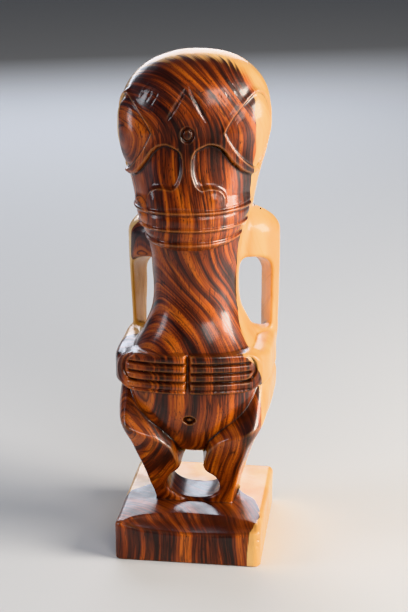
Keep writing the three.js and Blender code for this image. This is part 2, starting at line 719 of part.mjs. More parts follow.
function geometryOf(solid) {
  const mesh = solid.getMesh();
  const geometry = new THREE.BufferGeometry();
  const positions = new Float32Array(mesh.numVert * 3);
  for (let i = 0; i < mesh.numVert; i += 1) {
    for (let axis = 0; axis < 3; axis += 1) {
      positions[i * 3 + axis] = mesh.vertProperties[i * mesh.numProp + axis];
    }
  }
  geometry.setAttribute('position', new THREE.BufferAttribute(positions, 3));
  geometry.setIndex(new THREE.BufferAttribute(new Uint32Array(mesh.triVerts), 1));
  geometry.computeVertexNormals();
  return geometry;
}

const rosewood = new THREE.MeshStandardMaterial({ color: 0x7a3413, roughness: 0.32, metalness: 0 });
const statue = new THREE.Mesh(geometryOf(buildStatue()), rosewood);
statue.name = 'tiki_statue';

const part = new THREE.Group();
part.add(statue);

export default part;
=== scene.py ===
# %% [markdown]
# # A carved rosewood tiki statue
# The real object is one block of wood, carved by hand and varnished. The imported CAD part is
# loaded first, because it fixes the size, the place and the main forms. Everything here is
# built around it, in metres, with the base's underside at z = 0 and the face towards -Y.

# %% Load the frame
import math

import bpy
import numpy as np
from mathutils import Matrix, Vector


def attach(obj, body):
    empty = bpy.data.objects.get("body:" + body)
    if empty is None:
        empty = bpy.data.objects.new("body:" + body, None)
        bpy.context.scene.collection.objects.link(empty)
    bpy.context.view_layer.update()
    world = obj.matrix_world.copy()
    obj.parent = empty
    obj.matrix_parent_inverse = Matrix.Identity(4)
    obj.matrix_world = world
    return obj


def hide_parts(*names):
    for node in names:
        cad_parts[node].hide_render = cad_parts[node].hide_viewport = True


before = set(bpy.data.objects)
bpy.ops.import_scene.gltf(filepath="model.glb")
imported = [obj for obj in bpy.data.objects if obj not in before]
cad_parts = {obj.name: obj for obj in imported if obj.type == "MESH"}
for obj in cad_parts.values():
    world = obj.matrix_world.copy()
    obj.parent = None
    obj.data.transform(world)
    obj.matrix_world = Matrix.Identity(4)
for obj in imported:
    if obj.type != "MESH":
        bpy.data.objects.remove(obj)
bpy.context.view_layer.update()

MM = 0.001

# %% [markdown]
# ## How a carving can be described
# A carver starts from a block and takes wood away. The same is done here with a distance
# field: a function that is negative inside the wood, positive in the air and zero on the
# surface. Cutting, joining and easing an edge are then one line each, and all the tool work
# is in millimetres, as on the bench.


# %% Cut, join and ease edges
def edge(a, b, radius):
    """Wood where both a and b are wood, with the corner between them rounded to the radius."""
    past_a = np.maximum(a + radius, 0)
    past_b = np.maximum(b + radius, 0)
    return np.minimum(np.maximum(a, b), -radius) + np.hypot(past_a, past_b)


def join(a, b, radius):
    """Wood where a or b is wood, with the inner corner filled to the radius."""
    return -edge(-a, -b, radius)


def cut(wood, tool, radius):
    """Wood without the tool's shape, with the rim of the cut rounded."""
    return edge(wood, -tool, radius)


def ramp(value, start, end):
    """0 before start, 1 after end, smooth between them."""
    s = np.clip((value - start) / (end - start), 0, 1)
    return s * s * (3 - 2 * s)


# %% [markdown]
# ## Tables of sizes
# A figure's outline is easy to measure at a few heights. A smooth curve through those rows
# gives the form between them. The curve is level wherever the rows turn, so it never bulges
# past a measured width.


# %% Smooth curves through measured rows
def smooth_table(rows, step=0.1):
    rows = np.array(sorted(rows), float)
    keys, values = rows[:, 0], rows[:, 1:]
    gaps = np.diff(keys)[:, None]
    slopes = np.diff(values, axis=0) / gaps
    middle = (slopes[:-1] * gaps[1:] + slopes[1:] * gaps[:-1]) / (gaps[:-1] + gaps[1:])
    middle[slopes[:-1] * slopes[1:] <= 0] = 0
    tangents = np.vstack([slopes[:1], middle, slopes[-1:]])
    fine = np.append(np.arange(keys[0], keys[-1], step), keys[-1])
    i = np.clip(np.searchsorted(keys, fine, side="right") - 1, 0, len(keys) - 2)
    s = (fine - keys[i])[:, None] / gaps[i]
    curve = values[i] * (1 + 2 * s) * (1 - s) ** 2 + tangents[i] * gaps[i] * s * (1 - s) ** 2
    curve += values[i + 1] * s * s * (3 - 2 * s) + tangents[i + 1] * gaps[i] * s * s * (s - 1)
    return fine, curve


def read(table, key):
    """Every column of a smooth table at the key."""
    fine, curve = table
    return [np.interp(key, fine, column) for column in curve.T]


def rounded_square(across, along, power):
    """1 on the outline of a rounded square of half size 1. Power 2 is a circle."""
    return (np.abs(across) ** power + np.abs(along) ** power) ** (1 / power)


def column(x, y, z, table, centre_y):
    """A pillar whose level sections have a half width, a front, a back and a squareness."""
    half, front, back, square = read(table, z)
    depth = np.where(y < centre_y, centre_y - front, back - centre_y)
    ratio = np.maximum(rounded_square(x / half, (y - centre_y) / depth, square), 1e-3)
    return np.hypot(x, y - centre_y) * (1 - 1 / ratio)


# %% [markdown]
# ## The head
# The head is an egg that is cut flat under the chin. It is widest across the brow, and the
# jaw is narrow and square.

# %% Head form
HEAD_CENTRE_Y = -1
CROWN_SPRING = 176
CROWN_RISE = 24
CROWN_POWER = 2.25
CHIN_HEIGHT = 127.3
head_table = smooth_table([
    (127, 14.2, -23.6, 20.5, 2.3), (129, 17.2, -25.9, 20.8, 2.4), (131, 18.9, -26.9, 21, 2.4),
    (134, 20.4, -27.6, 21.2, 2.5), (138, 21.6, -27.9, 21.6, 2.5), (144, 22.9, -27.5, 22.2, 2.5),
    (150, 24.1, -26.6, 22.8, 2.45), (158, 25.9, -25.6, 23.3, 2.35), (165, 27.4, -24.7, 23.5, 2.3),
    (170, 28.4, -24.1, 23.4, 2.3), (176, 28.6, -24, 23, 2.3),
])


def head_form(x, y, z):
    half, front, back, square = read(head_table, z)
    depth = np.where(y < HEAD_CENTRE_Y, HEAD_CENTRE_Y - front, back - HEAD_CENTRE_Y)
    ratio = rounded_square(x / half, (y - HEAD_CENTRE_Y) / depth, square)
    above = np.maximum(z - CROWN_SPRING, 0)
    ratio = np.maximum(rounded_square(ratio, above / CROWN_RISE, CROWN_POWER), 1e-3)
    reach = np.sqrt(x * x + (y - HEAD_CENTRE_Y) ** 2 + above * above)
    return reach * (1 - 1 / ratio)


# %% [markdown]
# ## A chart for carving on a curved surface
# Eyes, cheeks and mouth are low carving on a round head. They are drawn on a flat chart,
# where u runs round the head and v is the height, and the chart's heights are then laid on
# the head. A line or a closed outline is all that has to be drawn, and the distance to it
# gives grooves, rims and slopes of any section.

# %% Chart tools
CHART_STEP = 0.15


def new_chart(low_u, high_u, low_v, high_v):
    u, v = np.meshgrid(np.arange(low_u, high_u, CHART_STEP), np.arange(low_v, high_v, CHART_STEP))
    return {"u": u, "v": v, "height": np.zeros_like(u)}


def smooth_line(points, step=0.12):
    """Points along a smooth line through the given ones."""
    return np.column_stack(read(smooth_table([(i, *p) for i, p in enumerate(points)]),
                                np.arange(0, len(points) - 1 + 1e-6, step)))


def from_line(u, v, points):
    """Distance to a line, and how far along it the nearest point is, from 0 to 1."""
    points = np.asarray(points, float)
    steps = np.hypot(*np.diff(points, axis=0).T)
    starts = np.concatenate([[0], np.cumsum(steps)])
    nearest = np.full(u.shape, 1e9)
    along = np.zeros(u.shape)
    for (au, av), (bu, bv), start, step in zip(points[:-1], points[1:], starts, steps):
        du, dv = bu - au, bv - av
        s = np.clip(((u - au) * du + (v - av) * dv) / max(step * step, 1e-9), 0, 1)
        distance = np.hypot(u - au - s * du, v - av - s * dv)
        closer = distance < nearest
        nearest[closer] = distance[closer]
        along[closer] = (start + s[closer] * step) / starts[-1]
    return nearest, along


def within(u, v, outline):
    """True inside a closed outline."""
    inside = np.zeros(u.shape, bool)
    for (au, av), (bu, bv) in zip(outline, np.roll(outline, -1, axis=0)):
        if av != bv:
            crosses = (av > v) != (bv > v)
            inside ^= crosses & (u < (bu - au) * (v - av) / (bv - av) + au)
    return inside


def sample(chart, u, v):
    """The chart's height at any u and v, read between its points."""
    height = chart["height"]
    fu = np.clip((u - chart["u"][0, 0]) / CHART_STEP, 0, height.shape[1] - 1.001)
    fv = np.clip((v - chart["v"][0, 0]) / CHART_STEP, 0, height.shape[0] - 1.001)
    iu, iv = fu.astype(int), fv.astype(int)
    su, sv = fu - iu, fv - iv
    low = height[iv, iu] * (1 - su) + height[iv, iu + 1] * su
    high = height[iv + 1, iu] * (1 - su) + height[iv + 1, iu + 1] * su
    return low * (1 - sv) + high * sv


# %% [markdown]
# ## Eyes
# Each eye is a big leaf with its corner towards the nose. A thin raised rim runs round it,
# the ground is sunk just inside the rim, and the ball bulges in the middle.

# %% Draw the eyes
CHART_RADIUS = 26
face = new_chart(-66, 66, 124, 201)
EYE_INNER, EYE_TOP, EYE_BOTTOM = (14.6, 172.2), (29, 186.2), (30, 156.4)


def bend(points, count):
    """Points on the curve that a row of pull points gives."""
    t = np.linspace(0, 1, count)[:, None]
    points = [np.array(p, float)[None] for p in points]
    while len(points) > 1:
        points = [a * (1 - t) + b * t for a, b in zip(points, points[1:])]
    return points[0]


eye_upper = bend([EYE_TOP, (19, 182), EYE_INNER], 24)
eye_lower = bend([EYE_INNER, (19.5, 160.3), EYE_BOTTOM], 24)
eye_outer = bend([EYE_BOTTOM, (43, 156.4), (43, 186.2), EYE_TOP], 40)
eye_outline = np.vstack([eye_upper[:-1], eye_lower[:-1], eye_outer[:-1]])
eye_section = smooth_table([
    (-2.2, 0), (-1.4, 0.08), (-0.7, 0.4), (-0.15, 0.62), (0.15, 0.55), (0.8, -0.5), (1.3, -0.45),
    (2.6, 0.25), (4.5, 0.95), (7, 1.45), (10, 1.7), (14, 1.8),
])

for side in (-1, 1):
    u, v = face["u"] * side, face["v"]
    depth, _ = from_line(u, v, np.vstack([eye_outline, eye_outline[:1]]))
    depth[~within(u, v, eye_outline)] *= -1
    face["height"] += read(eye_section, depth)[0]
    for corner in (EYE_TOP, EYE_BOTTOM):
        away = np.hypot(u - corner[0] - 0.5, v - corner[1])
        face["height"] += 0.9 * np.exp(-((away / 1.5) ** 2))
print("eye:", len(eye_outline), "outline points, ball", round(face["height"].max(), 2), "mm proud")

# %% [markdown]
# ## Cheeks and nose
# The cheeks are sunk below the brow. What is left standing between them is the nose: a
# narrow bridge with a broad rounded wing on each side. The wall under the brow is steep, the
# walls of the nose are coved, and the hollow runs out to nothing at the side and at the lip.

# %% Draw the cheeks and the nose
BROW_LINE = [(1.9, 163.5), (3.3, 166), (6, 167.4), (9, 168.3), (12.5, 167.7), (15.5, 165.5),
             (18.2, 161.8), (23, 157.6), (29, 155.3), (36, 154.6)]
NOSE_LINE = [(1.9, 163.5), (1.7, 160.5), (1.9, 157.5), (2.5, 155.4), (3.6, 153), (6, 151.5)]
WING_LINE = [(3.4, 151.9), (6.4, 151.4), (8.6, 149.8), (9.4, 147.5), (8.9, 145.3), (7.6, 144)]
WING_START = {-1: 6.8, 1: 5.2}
LIP_TOP = 144
CHEEK_DEPTH = 1.9

brow_line = smooth_line(BROW_LINE)
for side in (-1, 1):
    wing = [(u + WING_START[side], v) for u, v in WING_LINE]
    nose_line = smooth_line(NOSE_LINE + wing)
    cheek_outline = np.vstack([brow_line, [(36, LIP_TOP)], nose_line[::-1][:-1]])
    u, v = face["u"] * side, face["v"]
    under_brow = ramp(from_line(u, v, brow_line)[0], 0, 1.0)
    beside_nose = 1 - (1 - np.clip(from_line(u, v, nose_line)[0] / 2.2, 0, 1)) ** 2.4
    above_lip = ramp(v, LIP_TOP - 0.4, LIP_TOP + 4.5)
    fade = 1 - ramp(u, 24, 37)
    depth = CHEEK_DEPTH * under_brow * beside_nose * above_lip * fade
    face["height"] -= np.where(within(u, v, cheek_outline), depth, 0)
    end = np.hypot((u - WING_START[side] - 5.6) / 3.4, (v - 147.7) / 3.4)
    face["height"] += 0.5 * (1 - ramp(end, 0, 1))

# %% [markdown]
# ## Mouth
# Three raised beads run round the jaw, with two bands between them. The bands are the lips,
# and the lower one lies deeper. Seen from the side they fade out behind the jaw.

# %% Draw the mouth
mouth_section = smooth_table([
    (126, 0), (128.6, -0.3), (129.1, 0.05), (129.6, 0.4), (130.2, 0.55), (130.8, 0.4),
    (131.2, -0.3), (131.6, -0.95), (133.5, -0.75), (135.2, -0.95), (135.7, -0.6), (136.1, 0.25),
    (136.5, 0.5), (136.9, 0.25), (137.3, -0.35), (138.2, -0.15), (139.6, 0), (141, -0.1),
    (142, -0.5), (142.4, 0.1), (143, 0.7), (143.5, 0.55), (143.9, 0), (144.2, -0.25), (144.8, 0),
    (146, 0),
], 0.05)
around = np.degrees(np.abs(face["u"]) / CHART_RADIUS)
face["height"] += read(mouth_section, face["v"])[0] * (1 - ramp(around, 62, 98))

# %% [markdown]
# ## Forehead
# Two long spindle cuts meet above the nose, a punched ring sits between the eyes, and a few
# short strokes of the knife mark the brow on either side.


# %% Draw the forehead
def groove(chart, points, width, depth, side=1, ends=0.6):
    """A V groove along a line, which runs out at both ends."""
    away, along = from_line(chart["u"] * side, chart["v"], points)
    swell = np.maximum(np.sin(np.pi * along), 1e-4) ** ends
    chart["height"] -= depth * swell * np.maximum(1 - away / (width / 2 * swell), 0)


groove(face, [(0.3, 189.6), (4.5, 183.2), (8.2, 176)], 2.3, 1.0)
groove(face, [(0.2, 189.2), (4.6, 182.8), (9, 176.2)], 2.2, 0.9, side=-1)
ring_away = np.hypot(face["u"] - 0.2, face["v"] - 171.9)
ring_section = smooth_table([(0, 0.25), (1.2, 0.12), (1.8, -0.1), (2.4, -0.75), (3, -0.1),
                             (3.4, 0.1), (4, 0)])
face["height"] += read(ring_section, ring_away)[0]
for start, end in [((13, 187.6), (15.6, 182)), ((16, 188.6), (17.6, 183.4)),
                   ((18.6, 191.2), (21.2, 187.2)), ((20, 187.6), (21.4, 185))]:
    for side in (-1, 1):
        groove(face, [start, end], 0.9, 0.3, side)
print("face chart:", face["height"].shape, "points, from",
      round(face["height"].min(), 2), "to", round(face["height"].max(), 2), "mm")

# %% [markdown]
# ## Trunk, shoulders and arms
# The trunk swells at the belly, narrows at the waist and widens again under the chin. The
# shoulders and upper arms are one slab behind it, cut through on either side so that the
# arms stand free. A shallow trough behind leaves the spine standing.

# %% Trunk, shoulders and arms
trunk_table = smooth_table([
    (38, 7, -8, 12, 2.2), (41, 13, -12.5, 15, 2.2), (46, 18.5, -17.5, 18, 2.2),
    (52, 22.2, -21, 20, 2.4), (60, 24.6, -24, 21, 2.8), (68, 25.8, -24.8, 21, 3.2),
    (76, 26, -24.4, 20.5, 3.4), (82, 25, -24.2, 20, 3.6), (86, 23.2, -23.6, 19.8, 3.5),
    (89, 21.5, -21.8, 19.6, 3.1), (93, 19.7, -19.9, 19.5, 2.6), (97, 18.1, -18.5, 19.5, 2.3),
    (103, 16.9, -17.3, 19.7, 2.2), (109, 16.6, -16.8, 20, 2.2), (115, 17, -16.9, 20.5, 2.2),
    (121, 17.4, -17.4, 21, 2.2), (127, 18.4, -18.4, 21.5, 2.2), (133, 19.5, -18, 22, 2.2),
])
SHIELD_CENTRE_Y = 18
shield_table = smooth_table([
    (74.5, 1.2, 27, 5, 23), (76.5, 1.2, 28.6, 4, 24.6), (80, 1.2, 29.6, 2, 25.6),
    (88, 1.2, 29.9, 0, 26), (100, 1, 30.3, 0, 26), (118, 0.8, 30.7, 0, 26), (124, 0.7, 30.7, 0, 26),
    (128, 0.7, 29.6, 0, 26), (131, 0.7, 26.8, 1, 25.8), (133.4, 0.7, 22.6, 2.5, 25),
    (135.6, 0.7, 17, 5, 23.2), (137.4, 0.7, 9, 10, 20.5),
])
floor_table = smooth_table([(0, 85.4), (15, 85.4), (20, 83), (30, 77)])


def trunk(x, y, z):
    pillar = column(x, y, z, trunk_table, 0)
    return edge(edge(pillar, 38.5 - z, 4), z - 133, 1)


def shoulder_slab(x, y, z):
    shift, half, front, back = read(shield_table, z)
    across = (x - shift) / half
    along = y - SHIELD_CENTRE_Y
    forward = rounded_square(across, along / (SHIELD_CENTRE_Y - front), 2)
    backward = rounded_square(across, along / (back - SHIELD_CENTRE_Y), 4)
    ratio = np.maximum(np.where(along < 0, forward, backward), 1e-3)
    slab = np.hypot(x - shift, along) * (1 - 1 / ratio)
    return edge(edge(slab, z - 136.6, 2), 74.5 - z, 2)


def arm_gap(x, y, z):
    outer = 28.6 - 0.42 * (y - 13)
    top = 114.4 - 0.26 * (y - 15)
    middle, half = (outer + 12) / 2, (outer - 12) / 2
    arch = rounded_square((np.abs(x) - middle) / half, np.maximum(z - top + 6.5, 0) / 6.5, 2.6)
    tunnel = (arch - 1) * np.minimum(half, 6.5)
    return edge(tunnel, read(floor_table, y)[0] - z, 2)


def back_trough(x, y, z, start, low, spring, rise):
    grow = (y - start) * 0.57
    half = 19 + grow
    arch = rounded_square(x / half, np.maximum(z - spring, 0) / (rise + grow), 2.4)
    hollow = edge((arch - 1) * np.minimum(half, rise + grow), low - grow - z, 2)
    return edge(hollow, start - y, 1.5)


# %% [markdown]
# ## Forearms and hands
# The forearms lie round the hips like a belt. The hands meet over the belly as one raised
# slab, with a deep split in the middle. The little finger turns up round the ends of the
# other three.

# %% Draw the hands
HAND_MIDDLE = 78.3
hands = new_chart(-31, 31, 67, 90)
finger_u = np.abs(hands["u"])
finger_rows = smooth_table([
    (67, 0), (70.5, 0.1), (71.3, -0.1), (71.75, -0.6), (72.3, 0.05), (73.4, 0.4), (74.5, 0),
    (75.25, -1.1), (75.8, 0), (76.9, 0.4), (78.1, 0), (78.9, -1.1), (79.4, 0),
    (80.5, 0.4), (81.8, 0), (82.6, -1.1), (83.1, 0), (84.2, 0.35), (86, 0.1), (90, 0),
], 0.05)
finger_share = ramp(finger_u, 0.4, 1.6) * (1 - ramp(finger_u, 23.5, 25))
hands["height"] += read(finger_rows, hands["v"])[0] * finger_share
for side in (-1, 1):
    turned = smooth_line([(20, 74.9), (23.3, 75.6), (25.3, 77.4), (25.9, 80), (25.3, 82.6),
                          (23.8, 84.9), (21, 86.6)])
    groove(hands, turned, 1.5, 1.1, side, 0.25)
    low_line = smooth_line([(22, 71.8), (25.2, 72.9), (27.2, 75.4), (27.8, 78.6), (27.3, 82)])
    groove(hands, low_line, 0.9, 0.35, side, 0.4)
split = np.abs(hands["u"] + 0.1)
hands["height"] -= 2.3 * np.maximum(1 - split / 1.4, 0)


def hand_front(x):
    return -26.2 + 6.2 * (np.abs(x) / 28.8) ** 2.3


def hand_slab(x, y, z):
    beyond = np.maximum(np.abs(x) - 19, 0) / 9.8
    outline = (rounded_square(beyond, (z - HAND_MIDDLE) / 8, 2.6) - 1) * 8
    front = hand_front(x) - y - sample(hands, x, z)
    return edge(edge(outline, front, 1.0), y + 13, 0.5)


def forearms(x, y, z):
    behind = ramp(y, -21.8, 25.5)
    depth = np.where(y < 4, 25.8, 21.5)
    ratio = np.maximum(rounded_square(x / 30.9, (y - 4) / depth, 6), 1e-3)
    wall = np.hypot(x, y - 4) * (1 - 1 / ratio)
    belt = edge(wall, z - 84.8, 3.2)
    return edge(belt, 71.2 - 3.2 * behind - z, 3)


# %% [markdown]
# ## Legs
# The knees are bent, so each leg is a thigh that slopes up and back and a calf that slopes
# down and back to the foot. The crease between them is a crisp ridge. A round hole is cut
# between the ankles and runs up to the crotch.

# %% Legs
FOOT_FRONT = -8.2
BASE_HEIGHT = 16.4
HIP_TOP = 72
knee_table = smooth_table([
    (0, 33, -14), (4.5, 35, -16), (6.1, 39.4, -19.2), (7.6, 43.6, -21.2), (9.6, 46.2, -22.2),
    (12, 48.4, -23.4), (16, 50.8, -24.6), (20.5, 52.5, -25.3), (24, 54, -25.4),
    (26.5, 55.3, -24.6), (28.5, 56.8, -22), (32, 59, -13),
])
outer_table = smooth_table([
    (15, 16.5), (21, 17.5), (26, 19), (32, 20.7), (37.5, 22.6), (42, 24.4), (47, 26.2), (51, 28),
    (54, 29.2), (57.5, 30.2), (63, 30.7), (69, 30.4), (72.5, 29),
])
back_table = smooth_table([(14, 11), (25, 10), (36, 11.2), (46, 15.5), (56, 20), (63, 21), (70, 18.5)])


def ankle_hole(x, z):
    u = np.abs(x)
    bowl = (rounded_square(u / 11.2, (z - 25.6) / 8.2, 2.15) - 1) * 8
    neck = edge(edge(u - 4.7, z - 39.4, 3), 24 - z, 1)
    return join(bowl, neck, 3.5)


def legs(x, y, z):
    flare = 0.0048 - 0.0036 * ramp(z, 45, 58)
    u = np.abs(x) / (1 + flare * y)
    side = u - read(outer_table, z)[0]
    knee_z, knee_y = read(knee_table, u)
    lean_back = (knee_y - FOOT_FRONT) / (knee_z - BASE_HEIGHT)
    calf = (FOOT_FRONT + lean_back * (z - BASE_HEIGHT) - y) / np.hypot(1, lean_back)
    thigh = (knee_y + z - knee_z - y) / math.sqrt(2)
    front = edge(calf, edge(thigh, side, 5), 1.0)
    leg = edge(front, side, 1.6)
    leg = edge(leg, y - read(back_table, z)[0], 4)
    leg = cut(leg, ankle_hole(u, z), 2.2)
    leg = edge(leg, z - HIP_TOP, 3)
    return edge(leg, 14 - z, 0.5)


# %% [markdown]
# ## Base
# The figure stands on a square block of the same wood. Its edges are eased, and the front
# top edge is worn hollow in the middle.

# %% Base
BASE_HALF_WIDTH = 29.2
BASE_HALF_DEPTH = 31


def base(x, y, z):
    block = edge(np.abs(x) - BASE_HALF_WIDTH, np.abs(y) - BASE_HALF_DEPTH, 2.8)
    block = edge(block, z - BASE_HEIGHT, 2.2)
    block = edge(block, -z, 0.5)
    a, b, c = (x - 2) / 27, (y + BASE_HALF_DEPTH) / 10.5, (z - BASE_HEIGHT) / 3.4
    near = np.sqrt(a * a + b * b + c * c)
    slope = np.maximum(np.sqrt((a / 27) ** 2 + (b / 10.5) ** 2 + (c / 3.4) ** 2), 1e-3)
    return cut(block, near * (near - 1) / slope, 1.5)


# %% [markdown]
# ## The whole figure
# The carver's level lines drop a little to one side, so each height is tipped by the lean
# before the tables are read. Each part is only worked out near its own heights, which saves
# time.

# %% Put the parts together
LEAN = 0.03
FAR = 60.0
NICKS = [(29.0, -30.4, 11.6, 1.2), (28.9, -30.6, 8.9, 1.1), (29.1, -30.3, 6.6, 0.9),
         (25.6, -19.5, 48.6, 0.9), (25.0, -18.6, 46.6, 0.9), (24.3, -17.7, 44.6, 0.8)]


def where_near(part, low, high, x, y, z):
    value = np.full(x.shape, FAR)
    near = (z > low) & (z < high)
    value[near] = part(x[near], y[near], z[near])
    return value


def carved_head(x, y, z):
    u = CHART_RADIUS * np.arctan2(x, HEAD_CENTRE_Y - y)
    return edge(head_form(x, y, z) - sample(face, u, z), CHIN_HEIGHT - z, 1.2)


def navel(x, y, z):
    away = np.hypot((x - 0.2) / 2.5, (z - 58.6) / 1.9)
    depth = np.interp(away, [0, 0.3, 0.62, 0.85, 1.05, 1.35], [-0.3, -0.5, -1.9, -1.1, 0.15, 0])
    return np.where(y < 0, depth, 0)


def body(x, y, z):
    slab = cut(shoulder_slab(x, y, z), arm_gap(x, y, z), 1.8)
    slab = cut(slab, back_trough(x, y, z, 21.3, 66, 108, 17), 2)
    belt = cut(forearms(x, y, z), arm_gap(x, y, z), 1.2)
    belt = cut(belt, back_trough(x, y, z, 20.6, 66, 88, 4), 2)
    middle = join(trunk(x, y, z) - navel(x, y, z), slab, 3)
    return join(join(middle, belt, 0.8), where_near(hand_slab, 66, 92, x, y, z), 0.5)


def knife_marks(x, y, z):
    """The small rise and fall that a hand-held knife leaves, in mm."""
    marks = np.sin(x / 2.9 + 0.8 * np.sin(z / 5.3)) * np.sin(z / 4.1 + 0.9 * np.sin(y / 4.7))
    marks += np.sin(y / 3.3 + 0.7 * np.sin(x / 4.9)) * np.sin(z / 6.3 + x / 7.1 + 1.3)
    return 0.07 * marks * ramp(z, 0.5, 4)


def nicked(wood, x, y, z):
    for cx, cy, cz, radius in NICKS:
        near = np.abs(z - cz) < 3
        near[near] = np.hypot(x[near] - cx, y[near] - cy) < 3
        ball = np.hypot(np.hypot(x[near] - cx, y[near] - cy), 1.6 * (z[near] - cz)) - radius
        wood[near] = cut(wood[near], ball, 0.25)
    return wood


def statue(x, y, z):
    """Distance to the carved surface in mm, negative inside the wood."""
    tipped = z - LEAN * x * np.clip((z - 45) / 30, 0, 1)
    wood = join(where_near(body, 34, 142, x, y, tipped), where_near(legs, 10, 78, x, y, z), 0.6)
    wood = join(wood, where_near(carved_head, 120, 210, x, y, tipped), 0.8)
    wood = join(wood, where_near(base, -6, 24, x, y, z), 0.8)
    return nicked(wood - knife_marks(x, y, z), x, y, z)


# %% [markdown]
# ## From the field to a mesh
# The field is read on a grid that is refined only near the surface: coarse cells far away
# are thrown out, and those that stay are split in eight, down to half a millimetre. One
# point goes in each cell that the surface passes through, and neighbouring points are joined
# to squares. The points are then slid along the field's slope on to the surface.

# %% Find the cells that the surface passes through
FINEST = 0.5
ORIGIN = np.array([-34.0, -34.0, -3.0])
CORNER_STEPS = np.stack(np.meshgrid([0, 1], [0, 1], [0, 1], indexing="ij"), -1).reshape(-1, 3)


def surface_cells():
    size = 4.0
    cells = np.stack(np.meshgrid(np.arange(17), np.arange(17), np.arange(52), indexing="ij"), -1)
    cells = cells.reshape(-1, 3)
    while True:
        centres = ORIGIN + (cells + 0.5) * size
        cells = cells[np.abs(statue(*centres.T)) < 1.5 * size]
        if size <= FINEST:
            return cells
        cells = (cells[:, None] * 2 + CORNER_STEPS).reshape(-1, 3)
        size /= 2


cells = surface_cells()
print("cells near the surface:", len(cells), "of", FINEST, "mm")

# %% Join the cells' points to squares
SPAN = 1024


def number_of(cells):
    """One whole number for each cell or corner, so that they can be looked up."""
    return (cells[..., 0] * SPAN + cells[..., 1]) * SPAN + cells[..., 2]


def crossed_cells(cells):
    """The cells with wood at some corners and air at others, sorted, with the field there."""
    numbers, lookup = np.unique(number_of(cells[:, None] + CORNER_STEPS), return_inverse=True)
    corners = np.stack([numbers // SPAN**2, numbers // SPAN % SPAN, numbers % SPAN], -1)
    at_corner = statue(*(ORIGIN + corners * FINEST).T)[lookup.reshape(-1, 8)]
    crossed = (at_corner < 0).any(1) & (at_corner >= 0).any(1)
    cells, at_corner = cells[crossed], at_corner[crossed]
    order = np.argsort(number_of(cells))
    return cells[order], at_corner[order]


def rings_of_cells(cells, at_corner):
    """The four cells round each grid line that the surface crosses, seen from the air."""
    rings = []
    for axis in range(3):
        one, other = np.eye(3, dtype=int)[(axis + 1) % 3], np.eye(3, dtype=int)[(axis + 2) % 3]
        low, high = at_corner[:, 0] < 0, at_corner[:, 4 >> axis] < 0
        crossing = low != high
        here = cells[crossing]
        ring = np.stack([here - one - other, here - other, here, here - one], 1)
        flip = high[crossing]
        ring[flip] = ring[flip][:, ::-1]
        rings.append(ring)
    return np.concatenate(rings)


def net(cells):
    while True:
        cells, at_corner = crossed_cells(cells)
        rings = rings_of_cells(cells, at_corner)
        missing = np.setdiff1d(number_of(rings), number_of(cells))
        if not len(missing):
            break
        found = np.stack([missing // SPAN**2, missing // SPAN % SPAN, missing % SPAN], -1)
        cells = np.concatenate([cells, found])

    total, count = np.zeros((len(cells), 3)), np.zeros(len(cells))
    for a in range(8):
        for axis in range(3):
            b = a | (4 >> axis)
            if a != b:
                fa, fb = at_corner[:, a], at_corner[:, b]
                through = (fa < 0) != (fb < 0)
                share = fa[through] / (fa[through] - fb[through])
                where = CORNER_STEPS[a] + share[:, None] * (CORNER_STEPS[b] - CORNER_STEPS[a])
                total[through] += where
                count[through] += 1
    points = ORIGIN + (cells + total / count[:, None]) * FINEST
    return points, np.searchsorted(number_of(cells), number_of(rings))


points, squares = net(cells)
print("net:", len(points), "points and", len(squares), "squares")


# %% Slide points on to the surface
def slope_at(p, reach=0.05):
    here = statue(*p.T)
    steps = np.eye(3) * reach
    slope = np.stack([statue(*(p + s).T) - here for s in steps], -1) / reach
    return here, slope


def settle(p, rounds=2):
    p = p.copy()
    for _ in range(rounds):
        here, slope = slope_at(p)
        size = np.maximum((slope**2).sum(1), 0.15)
        p -= np.clip(here / size, -0.4, 0.4)[:, None] * slope
    return p


points = settle(points)
print("furthest point off the surface:", round(float(np.abs(statue(*points.T)).max()), 3), "mm")

# %% [markdown]
# ## Thin the mesh
# Flat areas need few faces, and rims and grooves need many. Blender's Decimate modifier
# merges edges where that changes the form least. The points that stay are settled once more.

# %% Build the statue's mesh
FACE_TARGET = 190_000


def mesh_from(name, points, faces):
    mesh = bpy.data.meshes.new(name)
    mesh.from_pydata(points.tolist(), [], faces.tolist())
    mesh.validate()
    return mesh


def thinned(mesh):
    """A copy of the mesh with about FACE_TARGET triangles."""
    rough = bpy.data.objects.new("rough_carving", mesh)
    bpy.context.scene.collection.objects.link(rough)
    thin = rough.modifiers.new("thin", "DECIMATE")
    thin.ratio = min(1.0, FACE_TARGET / (2 * len(mesh.polygons)))
    thin.use_collapse_triangulate = True
    evaluated = rough.evaluated_get(bpy.context.evaluated_depsgraph_get())
    result = bpy.data.meshes.new_from_object(evaluated)
    bpy.data.objects.remove(rough)
    return result


carving = mesh_from("tiki_carving", points, squares)
carving = thinned(carving)
spots = np.empty(len(carving.vertices) * 3, np.float32)
carving.vertices.foreach_get("co", spots)
spots = settle(spots.reshape(-1, 3).astype(float), 1)
spots[:, 2] = np.maximum(spots[:, 2], 0)
carving.vertices.foreach_set("co", (spots * MM).astype(np.float32).ravel())
carving.shade_smooth()
carving.update()
# How hollow or how proud each point is, kept on the mesh for the wood's painted shade in hollows and
# painted highlight on rims.
for name, reach in (("hollow", 0.9), ("deep", 3.0)):
    level = statue(*spots.T)
    around = sum(statue(*(spots + shift).T) for shift in np.vstack([np.eye(3), -np.eye(3)]) * reach)
    bend_here = carving.attributes.new(name, "FLOAT", "POINT")
    values = ((level - around / 6) / reach).astype(np.float32)
    bend_here.data.foreach_set("value", values)
    print(name, "from", round(float(values.min()), 2), "to", round(float(values.max()), 2))
tiki = bpy.data.objects.new("tiki_carving", carving)
bpy.context.scene.collection.objects.link(tiki)
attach(tiki, "root")
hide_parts("tiki_statue")
